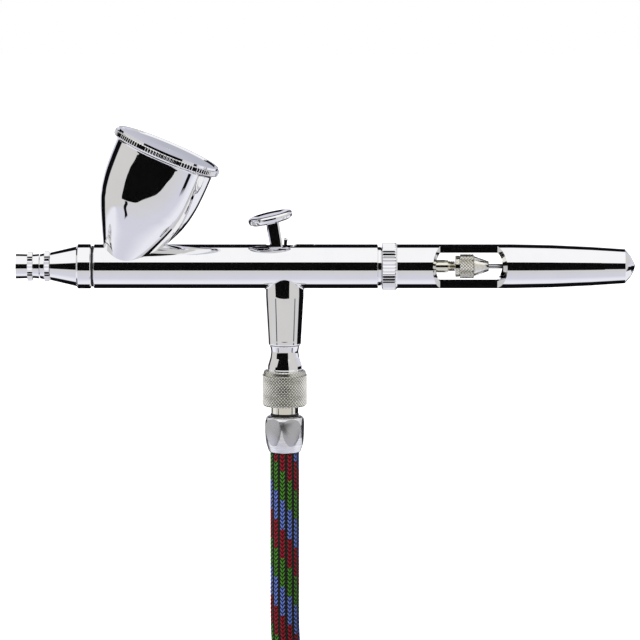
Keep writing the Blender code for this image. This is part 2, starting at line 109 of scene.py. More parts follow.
class Nodes:
    """Short calls for the shader nodes of one material or world."""

    def __init__(self, tree):
        self.tree = tree

    def add(self, kind, inputs=(), **settings):
        node = self.tree.nodes.new(kind)
        for name, value in settings.items():
            setattr(node, name, value)
        for name, value in dict(inputs).items():
            self.feed(node.inputs[name], value)
        return node

    def feed(self, socket, value):
        if isinstance(value, bpy.types.NodeSocket):
            self.tree.links.new(value, socket)
        elif isinstance(value, bpy.types.Node):
            self.tree.links.new(value.outputs[0], socket)
        else:
            socket.default_value = value

    def math(self, operation, *values):
        return self.add("ShaderNodeMath", enumerate(values), operation=operation).outputs[0]

    def mul(self, *values):
        return self.math("MULTIPLY", *values)

    def total(self, *values):
        return self.math("ADD", *values)

    def less(self, *values):
        return self.math("SUBTRACT", *values)

    def axes(self, kind="Object"):
        """The X, Y and Z of the point being shaded, in the piece's own coordinates or another kind."""
        place = self.add("ShaderNodeTexCoord")
        return self.add("ShaderNodeSeparateXYZ", {"Vector": place.outputs[kind]}).outputs

    def step(self, value, low, high, soft):
        """1 where the value is between low and high, with soft edges, and 0 elsewhere."""
        rise = self.ramp(value, low - soft / 2, low + soft / 2, 0.0, 1.0)
        fall = self.ramp(value, high - soft / 2, high + soft / 2, 1.0, 0.0)
        return self.math("MULTIPLY", rise, fall)

    def ramp(self, value, low, high, start, end):
        made = self.add("ShaderNodeMapRange", {"Value": value, "From Min": low, "From Max": high,
                                               "To Min": start, "To Max": end})
        return made.outputs[0]

    def mix(self, share, one, other):
        made = self.add("ShaderNodeMix", data_type="RGBA")
        self.feed(made.inputs["Factor"], share)
        self.feed(made.inputs["A"], one if not isinstance(one, tuple) else (*one, 1.0))
        self.feed(made.inputs["B"], other if not isinstance(other, tuple) else (*other, 1.0))
        return made.outputs["Result"]


WHITE = (1.0, 1.0, 1.0)
LAVENDER = (0.68, 0.68, 0.77)
DUSK = (0.47, 0.48, 0.55)
PALE = (0.87, 0.87, 0.93)
WARM = (0.66, 0.65, 0.635)
BLACK = (0.004, 0.004, 0.005)


def build_world():
    """White to the eye and soft white to matt surfaces. Polished metal sees a white ceiling, warm grey walls,
    a lavender floor and dark drapes behind."""
    world = bpy.data.worlds.new("studio")
    bpy.context.scene.world = world
    world.use_nodes = True
    tree = world.node_tree
    tree.nodes.clear()
    n = Nodes(tree)
    x, y, z = n.axes("Generated")
    front = n.mul(y, -1.0)
    degrees = 180.0 / math.pi
    roll = n.mul(n.math("ARCTAN2", z, front), degrees)
    side = n.mul(n.math("ARCTAN2", x, front), degrees)
    height = n.mul(n.math("ARCSINE", z), degrees)
    colour = n.mix(n.ramp(roll, -82.0, -60.0, 0.0, 1.0), PALE, LAVENDER)
    colour = n.mix(n.ramp(roll, -52.0, -16.0, 0.0, 1.0), colour, WARM)
    behind = n.step(roll, 155.0, 181.0, 4.0)
    colour = n.mix(behind, colour, LAVENDER)
    over = n.mul(n.step(roll, 166.0, 181.0, 2.0), n.step(x, 0.05, 0.3, 0.03))
    colour = n.mix(over, colour, DUSK)
    colour = n.mix(n.step(roll, 20.0, 121.0, 1.5), colour, WHITE)
    walls = n.mul(n.step(height, -14.0, 24.0, 3.0), n.step(side, -124.0, 99.0, 2.0))
    colour = n.mix(walls, colour, WARM)
    flag = n.mul(n.step(roll, -13.0, 27.0, 1.0), n.step(side, -67.0, 28.0, 1.5))
    colour = n.mix(flag, colour, BLACK)
    above = n.mul(n.step(roll, 120.0, 166.0, 3.0), n.step(x, -0.5, 0.5, 0.06))
    colour = n.mix(above, colour, BLACK)
    below = n.mul(n.step(roll, -166.0, -101.0, 4.0), n.step(x, -0.42, 0.42, 0.06))
    colour = n.mix(below, colour, BLACK)
    right = n.mul(n.step(height, -17.0, -3.0, 1.5), n.step(side, 99.0, 176.0, 2.0))
    colour = n.mix(right, colour, BLACK)
    left = n.mul(n.step(height, -26.0, 17.0, 2.0), n.step(side, -150.0, -124.0, 2.0))
    colour = n.mix(left, colour, BLACK)
    for edge, width in ((-60.0, 7.0), (63.0, 9.0)):
        seam = n.mul(n.step(height, -32.0, -13.0, 2.0), n.step(side, edge, edge + width, 1.0))
        colour = n.mix(seam, colour, BLACK)
    path = n.add("ShaderNodeLightPath")
    seen = n.mix(path.outputs["Is Glossy Ray"], WHITE, colour)
    background = n.add("ShaderNodeBackground", {"Color": seen, "Strength": 1.0})
    n.add("ShaderNodeOutputWorld", {"Surface": background.outputs[0]})
    bpy.context.scene.view_settings.view_transform = "Standard"


def build_studio():
    """A pale floor, one soft light, and a black flag in front that only polished metal sees."""
    floor = sheet("floor", 4000.0, 4000.0, Matrix.Translation((0.0, 0.0, FLOOR * MM)))
    material, _, shader = surface("floor", (0.85, 0.85, 0.86), 0.0, 0.9)
    shader.inputs["Emission Color"].default_value = (1.0, 1.0, 1.0, 1.0)
    shader.inputs["Emission Strength"].default_value = 0.45
    floor.data.materials.append(material)
    floor.visible_glossy = False
    flag = sheet("front_flag", FLAG_RIGHT - FLAG_LEFT, FLAG_TOP - FLAG_FOOT, at(
        (FLAG_LEFT + FLAG_RIGHT) / 2, -FLAG_AWAY, (FLAG_FOOT + FLAG_TOP) / 2) @ ACROSS)
    dark, _, shader = surface("flag_cloth", (0.003, 0.003, 0.003), 0.0, 1.0)
    shader.inputs["Specular IOR Level"].default_value = 0.0
    flag.data.materials.append(dark)
    flag.visible_camera = False
    flag.visible_diffuse = False
    flag.visible_shadow = False
    flag.visible_transmission = False
    lamp = bpy.data.lights.new("soft_light", "AREA")
    lamp.shape = "SQUARE"
    lamp.size = 0.9
    lamp.energy = 9.0
    light = bpy.data.objects.new("soft_light", lamp)
    light.location = (-0.35, -0.5, 0.75)
    light.rotation_euler = Vector(light.location).to_track_quat("Z", "Y").to_euler()
    light.visible_glossy = False
    bpy.context.scene.collection.objects.link(light)


# ---------------------------------------------------------------- mesh helpers


def at(x, y, z):
    return Matrix.Translation(Vector((x, y, z)) * MM)


def make(name, points, faces, place=UPRIGHT, sharp=30.0):
    """An object from points in millimetres, with its faces turned outwards and its round surfaces smooth."""
    mesh = bpy.data.meshes.new(name)
    mesh.from_pydata([tuple(p) for p in np.asarray(points) * MM], [], faces)
    bm = bmesh.new()
    bm.from_mesh(mesh)
    bmesh.ops.recalc_face_normals(bm, faces=bm.faces)
    bm.to_mesh(mesh)
    bm.free()
    mesh.shade_smooth()
    mesh.set_sharp_from_angle(angle=math.radians(sharp))
    obj = bpy.data.objects.new(name, mesh)
    obj.matrix_world = place
    bpy.context.scene.collection.objects.link(obj)
    return obj


def extruded(name, *ends):
    """A solid between two outlines that have the same number of points."""
    count = len(ends[0])
    faces = [tuple(range(count)), tuple(reversed(range(count, 2 * count)))]
    faces += [(i, (i + 1) % count, count + (i + 1) % count, count + i) for i in range(count)]
    return make(name, [*ends[0], *ends[1]], faces)


def band_faces(turns, rows):
    """The faces of a closed band: as many sections as turns, of as many points as rows, joined all round."""
    faces = []
    for turn in range(turns):
        after = (turn + 1) % turns
        for row in range(rows):
            beside = (row + 1) % rows
            faces.append((turn * rows + row, after * rows + row, after * rows + beside, turn * rows + beside))
    return faces


def rod_line(low, high, radius):
    return [(low, 0.0), (low, radius), (high, radius), (high, 0.0)]


def ring_line(low, high, inner, outer):
    return [(low, inner), (low, outer), (high, outer), (high, inner)]


def read(items, name, kind=float, width=1):
    """A property of all the items of a mesh, as an array."""
    made = np.empty(len(items) * width, kind)
    items.foreach_get(name, made)
    return made.reshape(-1, width) if width > 1 else made


def sheet(name, width, depth, place):
    corners = [(sx * width / 2, sy * depth / 2, 0.0) for sx, sy in ((-1, -1), (1, -1), (1, 1), (-1, 1))]
    return make(name, corners, [(0, 1, 2, 3)], place)


def eased(outline, radius=0.1, steps=3):
    """The outline with its corners turned into arcs. A third number at a point is its own radius. The outline
    is a closed loop if its first point is off the axis."""
    flat = [Vector(point[:2]) for point in outline]
    loop = outline[0][1] > 0
    made = []
    count = len(flat)
    for i, corner in enumerate(flat):
        if not loop and i in (0, count - 1):
            made.append(tuple(corner))
            continue
        before = flat[i - 1] - corner
        after = flat[(i + 1) % count] - corner
        turn = math.pi - before.angle(after)
        wanted = outline[i][2] if len(outline[i]) > 2 else radius
        reach = min(wanted * math.tan(turn / 2), 0.45 * before.length, 0.45 * after.length)
        if turn < 0.02 or reach < 1e-3:
            made.append(tuple(corner))
            continue
        start = corner + before.normalized() * reach
        end = corner + after.normalized() * reach
        pieces = steps if wanted < 1.0 else 4 * steps
        for step in range(pieces + 1):
            t = step / pieces
            made.append(tuple(start * (1 - t) ** 2 + corner * 2 * t * (1 - t) + end * t * t))
    return made


def dense(outline, low, high, pitch):
    """The outline with extra points between low and high, so that a knurl or a thread has enough rows."""
    made = []
    ends = outline[1:] + ([outline[0]] if outline[0][1] > 0 else [])
    for here, after in zip(outline, ends + [None]):
        made.append(here)
        if after is None:
            break
        inside = min(here[0], after[0]) >= low - 1e-6 and max(here[0], after[0]) <= high + 1e-6
        parts = max(1, math.ceil(math.dist(here, after) / pitch)) if inside else 1
        for part in range(1, parts):
            share = part / parts
            made.append(tuple(a + (b - a) * share for a, b in zip(here, after)))
    return made


def turned(name, outline, place=ALONG_X, segments=128, cut=None, sharp=30.0):
    """A piece turned about its local Z from (along, radius) points, with a knurl or thread cut into it."""
    along, radius = np.array([point[:2] for point in outline], float).T
    loop = radius[0] > 0
    angle = np.linspace(0.0, 2 * math.pi, segments, endpoint=False)
    grid_r = np.repeat(radius[:, None], segments, 1)
    grid_a = np.repeat(along[:, None], segments, 1)
    if cut:
        grid_r = grid_r - cut(angle[None, :], grid_a, grid_r)
    points = np.stack([grid_r * np.cos(angle), grid_r * np.sin(angle), grid_a], 2).reshape(-1, 3)
    index = np.arange(len(points)).reshape(-1, segments)
    if not loop:
        index[0] = index[0, 0]
        index[-1] = index[-1, 0]
    rows = list(index) + ([index[0]] if loop else [])
    faces = []
    for one, other in zip(rows, rows[1:]):
        for quad in zip(one, np.roll(one, -1), np.roll(other, -1), other):
            faces.append(list(dict.fromkeys(int(v) for v in quad)))
    used = sorted({v for face in faces for v in face})
    renumber = {v: i for i, v in enumerate(used)}
    faces = [[renumber[v] for v in face] for face in faces]
    return make(name, points[used], faces, place, sharp)


def groove(phase, share):
    """A V-shaped groove once per turn of the phase: 1 at its bottom, and 0 outside its share of the turn."""
    distance = np.abs(phase - np.round(phase))
    return np.clip(1.0 - distance / (share / 2), 0.0, 1.0)


def straight_knurl(low, high, teeth, depth, share=0.5):
    def cut(angle, along, radius):
        inside = (along > low) & (along < high) & (radius > 0)
        return inside * depth * groove(angle * teeth / (2 * math.pi), share)
    return cut


def diamond_knurl(low, high, teeth, depth, radius_at, share=0.8):
    def cut(angle, along, radius):
        turn = angle * teeth / (2 * math.pi)
        climb = (along - low) * teeth / (2 * math.pi * radius_at)
        inside = (along > low) & (along < high) & (radius > radius_at - 0.6)
        deep = np.maximum(groove(turn + climb, share), groove(turn - climb, share))
        return inside * depth * deep
    return cut


def thread(low, high, pitch, depth, radius_at):
    def cut(angle, along, radius):
        inside = (along > low) & (along < high) & (np.abs(radius - radius_at) < 0.4)
        return inside * depth * groove(along / pitch - angle / (2 * math.pi), 0.9)
    return cut


def block(name, low, high, bevel=0.0):
    points = [(x, y, z) for x in (low[0], high[0]) for y in (low[1], high[1]) for z in (low[2], high[2])]
    faces = [(0, 1, 3, 2), (4, 6, 7, 5), (0, 4, 5, 1), (2, 3, 7, 6), (0, 2, 6, 4), (1, 5, 7, 3)]
    obj = make(name, points, faces)
    soften(obj, bevel, 4)
    return obj


def plate(name, outline, half, bevel, steps=2):
    """A flat piece in the XZ plane with its edges bevelled."""
    obj = extruded(name, *[[(x, side * half, z) for x, z in outline] for side in (-1, 1)])
    soften(obj, bevel, steps)
    return obj


def soften(obj, width, steps):
    if width > 0:
        modifier = obj.modifiers.new("bevel", "BEVEL")
        modifier.width = width * MM
        modifier.segments = steps
        modifier.limit_method = "ANGLE"
        modifier.angle_limit = math.radians(35)
        settle(obj)


def settle(obj, sharp=30.0):
    """Applies the object's modifiers to its mesh."""
    bpy.context.view_layer.update()
    graph = bpy.context.evaluated_depsgraph_get()
    mesh = bpy.data.meshes.new_from_object(obj.evaluated_get(graph))
    obj.modifiers.clear()
    old = obj.data
    obj.data = mesh
    bpy.data.meshes.remove(old)
    obj.data.name = obj.name
    mesh.shade_smooth()
    mesh.set_sharp_from_angle(angle=math.radians(sharp))


def combine(obj, operation, *tools):
    """Joins the tools to the object or cuts them from it, and removes them."""
    for tool in tools:
        modifier = obj.modifiers.new(tool.name, "BOOLEAN")
        modifier.operation = operation
        modifier.solver = "EXACT"
        modifier.object = tool
    settle(obj)
    for tool in tools:
        bpy.data.objects.remove(tool)


def polish(obj, *surfaces):
    """Sets the exact normals of turned surfaces after a cut, so that a mirror finish shows no facets. Each
    surface is its place and its outline."""
    mesh = obj.data
    points = read(mesh.vertices, "co", width=3)[read(mesh.loops, "vertex_index", int)] / MM
    normals = np.array([tuple(n.vector) for n in mesh.corner_normals])
    flat = np.repeat(read(mesh.polygons, "normal", width=3), read(mesh.polygons, "loop_total", int), 0)
    for place, outline in surfaces:
        turn = np.array(place.to_3x3())
        local = (points - np.array(place.translation) / MM) @ turn
        flat_local = flat @ turn
        reach = np.hypot(local[:, 0], local[:, 1])
        out = local[:, :2] / np.maximum(reach, 1e-6)[:, None]
        line = np.array([point[:2] for point in outline], float)
        if outline[0][1] > 0:
            line = np.vstack([line, line[:1]])
        start, end = line[:-1], line[1:]
        run = end - start
        long = np.linalg.norm(run, axis=1)
        face_n = np.stack([-run[:, 1], run[:, 0]], 1) / long[:, None]
        joined = (face_n[:-1] * face_n[1:]).sum(1) > math.cos(math.radians(20))
        node_a, node_b = face_n.copy(), face_n.copy()
        middle = face_n[:-1] + face_n[1:]
        middle /= np.linalg.norm(middle, axis=1)[:, None]
        node_b[:-1][joined] = middle[joined]
        node_a[1:][joined] = middle[joined]
        here = np.stack([local[:, 2], reach], 1)
        best = np.full(len(points), 0.012)
        for a, r, size, one, other, plane in zip(start, run, long, node_a, node_b, face_n):
            share = np.clip(((here - a) @ r) / size**2, 0, 1)
            gap = np.linalg.norm(here - a - share[:, None] * r, axis=1)
            face_dot = flat_local[:, 2] * plane[0] + (flat_local[:, :2] * out).sum(1) * plane[1]
            hit = (gap < best) & (np.abs(face_dot) > math.cos(math.radians(16)))
            if not hit.any():
                continue
            wanted = one + (other - one) * share[:, None]
            wanted /= np.linalg.norm(wanted, axis=1)[:, None]
            wanted = wanted * np.sign(face_dot)[:, None]
            made = np.stack([out[:, 0] * wanted[:, 1], out[:, 1] * wanted[:, 1], wanted[:, 0]], 1)
            normals[hit] = (made @ turn.T)[hit]
            best[hit] = gap[hit]
    mesh.normals_split_custom_set([tuple(n) for n in normals])


def pipe(name, path, radius, angles, front=(0.0, -1.0, 0.0), bulge=None):
    """A round bar along a path, with a frame that doesn't twist and a corner at each angle.
    bulge(angle, travel) adds to the radius."""
    path = np.array([tuple(p) for p in path], float)
    steps = np.linalg.norm(np.diff(path, axis=0), axis=1)
    travel = np.concatenate([[0.0], np.cumsum(steps)])
    tangent = np.gradient(path, axis=0)
    tangent /= np.linalg.norm(tangent, axis=1)[:, None]
    normal = np.empty_like(path)
    current = np.array(front, float)
    for i, direction in enumerate(tangent):
        current = current - direction * (current @ direction)
        current /= np.linalg.norm(current)
        normal[i] = current
    across = np.cross(normal, tangent)
    angle = np.array(angles)
    sides = len(angle)
    size = radius + (bulge(angle[None, :], travel[:, None]) if bulge else np.zeros((len(path), sides)))
    ring = (path[:, None, :] + size[:, :, None] * (
        normal[:, None, :] * np.cos(angle)[None, :, None] + across[:, None, :] * np.sin(angle)[None, :, None]
    ))
    points = np.vstack([ring.reshape(-1, 3), path[:1], path[-1:]])
    index = np.arange(len(path) * sides).reshape(-1, sides)
    quads = np.stack([index[:-1], np.roll(index[:-1], -1, 1), np.roll(index[1:], -1, 1), index[1:]], 2)
    faces = quads.reshape(-1, 4).tolist()
    first, last = len(points) - 2, len(points) - 1
    faces += [(first, int(a), int(b)) for a, b in zip(index[0], np.roll(index[0], -1))]
    faces += [(last, int(b), int(a)) for a, b in zip(index[-1], np.roll(index[-1], -1))]
    return make(name, points, faces, sharp=60.0), travel


def smooth_path(points, pitch):
    """Points this far apart or less along a smooth curve through the given ones."""
    points = [Vector(point) for point in points]
    ends = [2 * points[0] - points[1], *points, 2 * points[-1] - points[-2]]
    path = []
    for a, b, c, d in zip(ends, ends[1:], ends[2:], ends[3:]):
        steps = max(1, math.ceil((c - b).length / pitch))
        for step in range(steps):
            t = step / steps
            path.append(
                0.5 * (2 * b + (c - a) * t + (2 * a - 5 * b + 4 * c - d) * t**2
                       + (3 * b - a - 3 * c + d) * t**3)
            )
    return path + [points[-1]]


def shown(obj, body, slot, material, *stands_for):
    """Puts a finished piece on its body, in the place of the CAD nodes that it stands for."""
    obj.data.materials.clear()
    obj.data.materials.append(material)
    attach(obj, body)
    if stands_for:
        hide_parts(*stands_for)
    return obj


def turned_piece(name, outline, radius, segments, body, slot, material, *stands_for, place=ALONG_X):
    """A plain turned piece with its corners eased by this radius."""
    made = turned(name, eased(outline, radius), place, segments)
    return shown(made, body, slot, material, *stands_for)


# ---------------------------------------------------------------- materials


def surface(name, colour, metallic, roughness):
    material = bpy.data.materials.new(name)
    material.use_nodes = True
    n = Nodes(material.node_tree)
    shader = material.node_tree.nodes["Principled BSDF"]
    shader.inputs["Base Color"].default_value = (*colour, 1.0)
    shader.inputs["Metallic"].default_value = metallic
    shader.inputs["Roughness"].default_value = roughness
    return material, n, shader


def noise(n, scale, detail=3.0, stretch=(1.0, 1.0, 1.0)):
    """Noise over the piece's own coordinates, with features of about one over scale metres."""
    place = n.add("ShaderNodeTexCoord")
    mapped = n.add("ShaderNodeMapping", {"Vector": place.outputs["Object"], "Scale": stretch})
    made = n.add("ShaderNodeTexNoise", {"Vector": mapped.outputs[0], "Scale": scale, "Detail": detail})
    return made.outputs["Fac"]


def bumpy(n, shader, height, depth):
    made = n.add("ShaderNodeBump", {"Height": height, "Distance": depth * MM, "Strength": 1.0})
    n.feed(shader.inputs["Normal"], made.outputs["Normal"])


def polished(name, colour, low, high, haze=170.0):
    """Plated and buffed metal: a mirror with faint hazy patches and hairlines from wiping."""
    material, n, shader = surface(name, colour, 1.0, low)
    cloud = noise(n, haze, 4.0)
    hairs = noise(n, 900.0, 2.0, (0.15, 1.0, 1.0))
    mixed = n.total(n.mul(cloud, 0.7), n.mul(hairs, 0.3))
    n.feed(shader.inputs["Roughness"], n.ramp(mixed, 0.35, 0.7, low, high))
    worn = n.mix(n.ramp(cloud, 0.3, 0.7, 0.0, 1.0), colour, tuple(c * 0.975 for c in colour))
    n.feed(shader.inputs["Base Color"], worn)
    return material


def machined(name, colour, rough, ridge, stretch, scale=2600.0):
    """Bare or nickelled metal with fine tool marks and a slightly uneven tint."""
    material, n, shader = surface(name, colour, 1.0, rough)
    marks = noise(n, scale, 2.0, stretch)
    cloud = noise(n, 260.0, 4.0)
    n.feed(shader.inputs["Roughness"], n.ramp(cloud, 0.3, 0.7, rough * 0.75, rough * 1.3))
    dark = tuple(c * 0.86 for c in colour)
    n.feed(shader.inputs["Base Color"], n.mix(n.ramp(marks, 0.35, 0.65, 0.0, 1.0), dark, colour))
    bumpy(n, shader, marks, ridge)
    return material


def soft_solid(name, colour, rough, grain, depth):
    """Rubber, PTFE or brass packing: fine grain with a slightly uneven tone."""
    material, n, shader = surface(name, colour, 0.0, rough)
    fine = noise(n, grain, 4.0)
    cloud = noise(n, 200.0, 3.0)
    n.feed(shader.inputs["Roughness"], n.ramp(cloud, 0.3, 0.7, rough * 0.8, min(1.0, rough * 1.2)))
    n.feed(shader.inputs["Base Color"], n.mix(fine, tuple(c * 0.7 for c in colour), colour))
    bumpy(n, shader, fine, depth)
    shader.inputs["Specular IOR Level"].default_value = 0.25
    return material


def paint_knurl_groove_shade(material, teeth, radius, low, dark):
    """Paints shade into the bottoms of a diamond knurl: a darker base colour where light doesn't reach."""
    n = Nodes(material.node_tree)
    shader = material.node_tree.nodes["Principled BSDF"]
    x, y, z = n.axes()
    turn = n.mul(n.math("ARCTAN2", y, x), teeth / (2 * math.pi))
    climb = n.mul(n.less(z, low * MM), teeth / (2 * math.pi * radius * MM))
    legs = []
    for kind in ("ADD", "SUBTRACT"):
        phase = n.math("FRACT", n.total(n.math(kind, turn, climb), 0.5))
        legs.append(n.math("ABSOLUTE", n.less(phase, 0.5)))
    depth = n.math("MINIMUM", *legs)
    reach = n.math("SQRT", n.total(n.mul(x, x), n.mul(y, y)))
    band = n.ramp(reach, (radius - 0.62) * MM, (radius - 0.45) * MM, 0.0, 1.0)
    shade = n.mul(n.ramp(depth, 0.03, 0.24, 1.0, 0.0), band)
    base = shader.inputs["Base Color"].links[0].from_socket
    n.feed(shader.inputs["Base Color"], n.mix(shade, base, dark))
    return material


def paint_hex_flat_shade(material, spin, half, shade):
    """Paints shade on the flats of a hexagon, which are milled rather than turned: a darker base colour there
    stands in for the darker reflections the flats show.
    """
    n = Nodes(material.node_tree)
    shader = material.node_tree.nodes["Principled BSDF"]
    x, y, _ = n.axes()
    sixth = math.pi / 3
    angle = n.less(n.math("ARCTAN2", y, x), spin)
    off = n.less(n.math("FLOORED_MODULO", angle, sixth), sixth / 2)
    reach = n.math("SQRT", n.total(n.mul(x, x), n.mul(y, y)))
    across = n.mul(reach, n.math("COSINE", off))
    flat = n.ramp(across, (half - 0.03) * MM, (half - 0.015) * MM, 0.0, 1.0)
    base = shader.inputs["Base Color"].links[0].from_socket
    n.feed(shader.inputs["Base Color"], n.mix(flat, base, shade))
    return material


def strap_cloth(name):
    """Woven loop-pile strap."""
    material, n, shader = surface(name, (0.03, 0.03, 0.035), 0.0, 0.9)
    x, y, z = n.axes()
    across = n.math("SINE", n.mul(y, 9000.0))
    along = n.math("SINE", n.mul(n.total(x, z), 9000.0))
    weave = n.mul(across, along)
    pile = noise(n, 5000.0, 3.0)
    height = n.total(n.mul(weave, 0.5), pile)
    n.feed(shader.inputs["Base Color"], n.mix(n.ramp(height, 0.0, 1.0, 0.0, 1.0), (0.012, 0.012, 0.014),
                                              (0.055, 0.055, 0.06)))
    bumpy(n, shader, height, 0.12)
    shader.inputs["Sheen Weight"].default_value = 0.4
    return material


RED = (0.25, 0.005, 0.016)
GREEN = (0.05, 0.19, 0.013)
BLUE = (0.10, 0.155, 0.48)
BAND = 7.5
BAND_SHIFT = 2.5
FIRST_BAND = 4.9
RIB_SHARE = 0.29


def braid_cloth(name):
    """Black braid with raised ribs of knitted yarn, whose colour changes from red to green to blue along the
    hose. It reads the lay map: turns around the hose, and millimetres along it."""
    material, n, shader = surface(name, (0.02, 0.02, 0.02), 0.0, 0.6)
    lay = n.add("ShaderNodeUVMap", uv_map="lay")
    axes = n.add("ShaderNodeSeparateXYZ", {"Vector": lay.outputs["UV"]})
    turn, along = axes.outputs[0], axes.outputs[1]
    count = n.total(n.mul(turn, float(RIBS)), 0.5 - RIB_TURN * RIBS / (2 * math.pi))
    rib = n.math("FLOOR", count)
    across = n.less(n.math("FRACT", count), 0.5)
    away = n.math("ABSOLUTE", across)
    wrapped = n.less(rib, n.mul(n.math("GREATER_THAN", rib, RIBS / 2 + 0.5), RIBS))
    shifted = n.less(along, n.mul(wrapped, BAND_SHIFT))
    wander = n.mul(n.less(noise(n, 1500.0, 1.0), 0.5), 0.5)
    band = n.math("FLOOR", n.math("DIVIDE", n.less(n.total(shifted, wander), FIRST_BAND), BAND))
    hue = n.math("FLOORED_MODULO", band, 3.0)
    colour = n.mix(n.math("COMPARE", hue, 1.0, 0.1), GREEN, BLUE)
    colour = n.mix(n.math("COMPARE", hue, 2.0, 0.1), colour, RED)
    leg = n.math("FRACT", n.total(n.math("DIVIDE", along, STITCH), n.mul(away, 2.4)))
    crown = n.math("SINE", n.mul(leg, math.pi))
    reach = n.ramp(crown, 0.2, 1.0, RIB_SHARE - 0.09, RIB_SHARE + 0.03)
    on_rib = n.math("LESS_THAN", away, reach)
    spine = n.ramp(away, 0.0, 0.06, 0.35, 1.0)
    stitch = n.mul(n.math("POWER", crown, 2.2), spine)
    fibre = noise(n, 9000.0, 2.0)
    # Painted light and shade: the yarn is painted lighter on each stitch's crown and darker between stitches
    # and along the rib's middle; the fibre noise adds random tone.
    tone = n.mul(n.ramp(stitch, 0.0, 0.9, 0.02, 1.02), n.ramp(fibre, 0.3, 0.7, 0.8, 1.15))
    yarn = n.add("ShaderNodeVectorMath", {0: colour, "Scale": tone}, operation="SCALE").outputs[0]
    warp = n.math("SINE", n.mul(n.total(n.mul(turn, 48.0), along), 2 * math.pi))
    weft = n.math("SINE", n.mul(n.less(n.mul(turn, 48.0), along), 2 * math.pi))
    weave = n.math("MAXIMUM", warp, weft)
    ground = n.mix(n.ramp(weave, 0.2, 1.0, 0.0, 1.0), (0.001, 0.001, 0.001), (0.016, 0.019, 0.014))
    n.feed(shader.inputs["Base Color"], n.mix(on_rib, ground, yarn))
    low = n.mul(n.ramp(weave, -0.5, 1.0, 0.0, 0.5), n.less(1.0, on_rib))
    height = n.total(low, n.mul(on_rib, n.total(0.4, stitch)))
    bumpy(n, shader, height, 0.16)
    shader.inputs["Specular IOR Level"].default_value = 0.12
    return material


CHROME = polished("polished_chrome", (0.93, 0.93, 0.945), 0.012, 0.05)
NICKEL = polished("bright_nickel", (0.88, 0.86, 0.74), 0.05, 0.12, 400.0)
NUT_KNURL = machined("knurled_nut_nickel", (0.95, 0.94, 0.88), 0.32, 0.006, (1.0, 1.0, 1.0), 1800.0)
# Painted shade in the grooves of the nut's and the chuck's diamond knurls.
paint_knurl_groove_shade(NUT_KNURL, NUT_TEETH, NUT_R, NUT_FOOT - 0.01, (0.36, 0.36, 0.29))
CHUCK_KNURL = machined("knurled_chuck_nickel", (0.90, 0.885, 0.82), 0.1, 0.004, (1.0, 1.0, 1.0), 1800.0)
paint_knurl_groove_shade(CHUCK_KNURL, CHUCK_TEETH, CHUCK_R, 44.72, (0.46, 0.45, 0.37))
HEX_HALF = 4.68
NEAR_SPIN = math.radians(-38)
FAR_SPIN = math.radians(30)
# Painted shade on the hexagon flats of both compression nuts, turned with each nut's spin.
NEAR_HEX = machined("satin_steel", (0.93, 0.93, 0.95), 0.26, 0.002, (0.2, 0.2, 1.0))
paint_hex_flat_shade(NEAR_HEX, NEAR_SPIN, HEX_HALF, (0.58, 0.58, 0.60))
FAR_HEX = machined("satin_steel_far", (0.93, 0.93, 0.95), 0.26, 0.002, (0.2, 0.2, 1.0))
paint_hex_flat_shade(FAR_HEX, FAR_SPIN, HEX_HALF, (0.58, 0.58, 0.60))
BRASS = machined("turned_brass", (0.80, 0.62, 0.32), 0.22, 0.006, (0.1, 0.1, 1.0))
STEEL = machined("drawn_steel", (0.68, 0.69, 0.71), 0.16, 0.003, (1.0, 1.0, 0.08))
PTFE = soft_solid("ptfe", (0.86, 0.86, 0.83), 0.45, 1500.0, 0.01)
RUBBER = soft_solid("black_rubber", (0.014, 0.014, 0.015), 0.5, 2600.0, 0.02)
STRAP = strap_cloth("strap_cloth")
BRAID = braid_cloth("yarn_braid")


# ---------------------------------------------------------------- hose

HOSE_ROUTE = [
    (0.0, 0.0, HOSE_EXIT), (0.0, 0.0, -55.8), (0.0, 0.0, -64.1), (0.0, 0.0, -72.4), (0.0, 0.0, -80.7),
    (0.0, 0.0, -89.0), (0.2, 0.0, -96.5), (1.0, 0.0, -103.6), (3.0, 0.0, -110.3), (6.2, 0.0, -116.4),
    (10.6, 0.0, -121.6), (16.0, 0.0, -125.8), (22.0, 0.0, -128.8), (28.4, 0.0, -130.7),
]
COIL_CELLS = [
    (COIL_OUTER, 0), (COIL_INNER, 0), (COIL_INNER, 1), (COIL_OUTER, 1), (COIL_OUTER, 2), (COIL_INNER, 2),
]
TURN_POINTS = 36
BLEND_FROM = 0.694
PUSH = 5.0
PUSH_AT = 112.0
PUSH_REACH = 80.0
FINE_END = 46.0
FINE_PITCH = STITCH / 4
COARSE_PITCH = 1.7


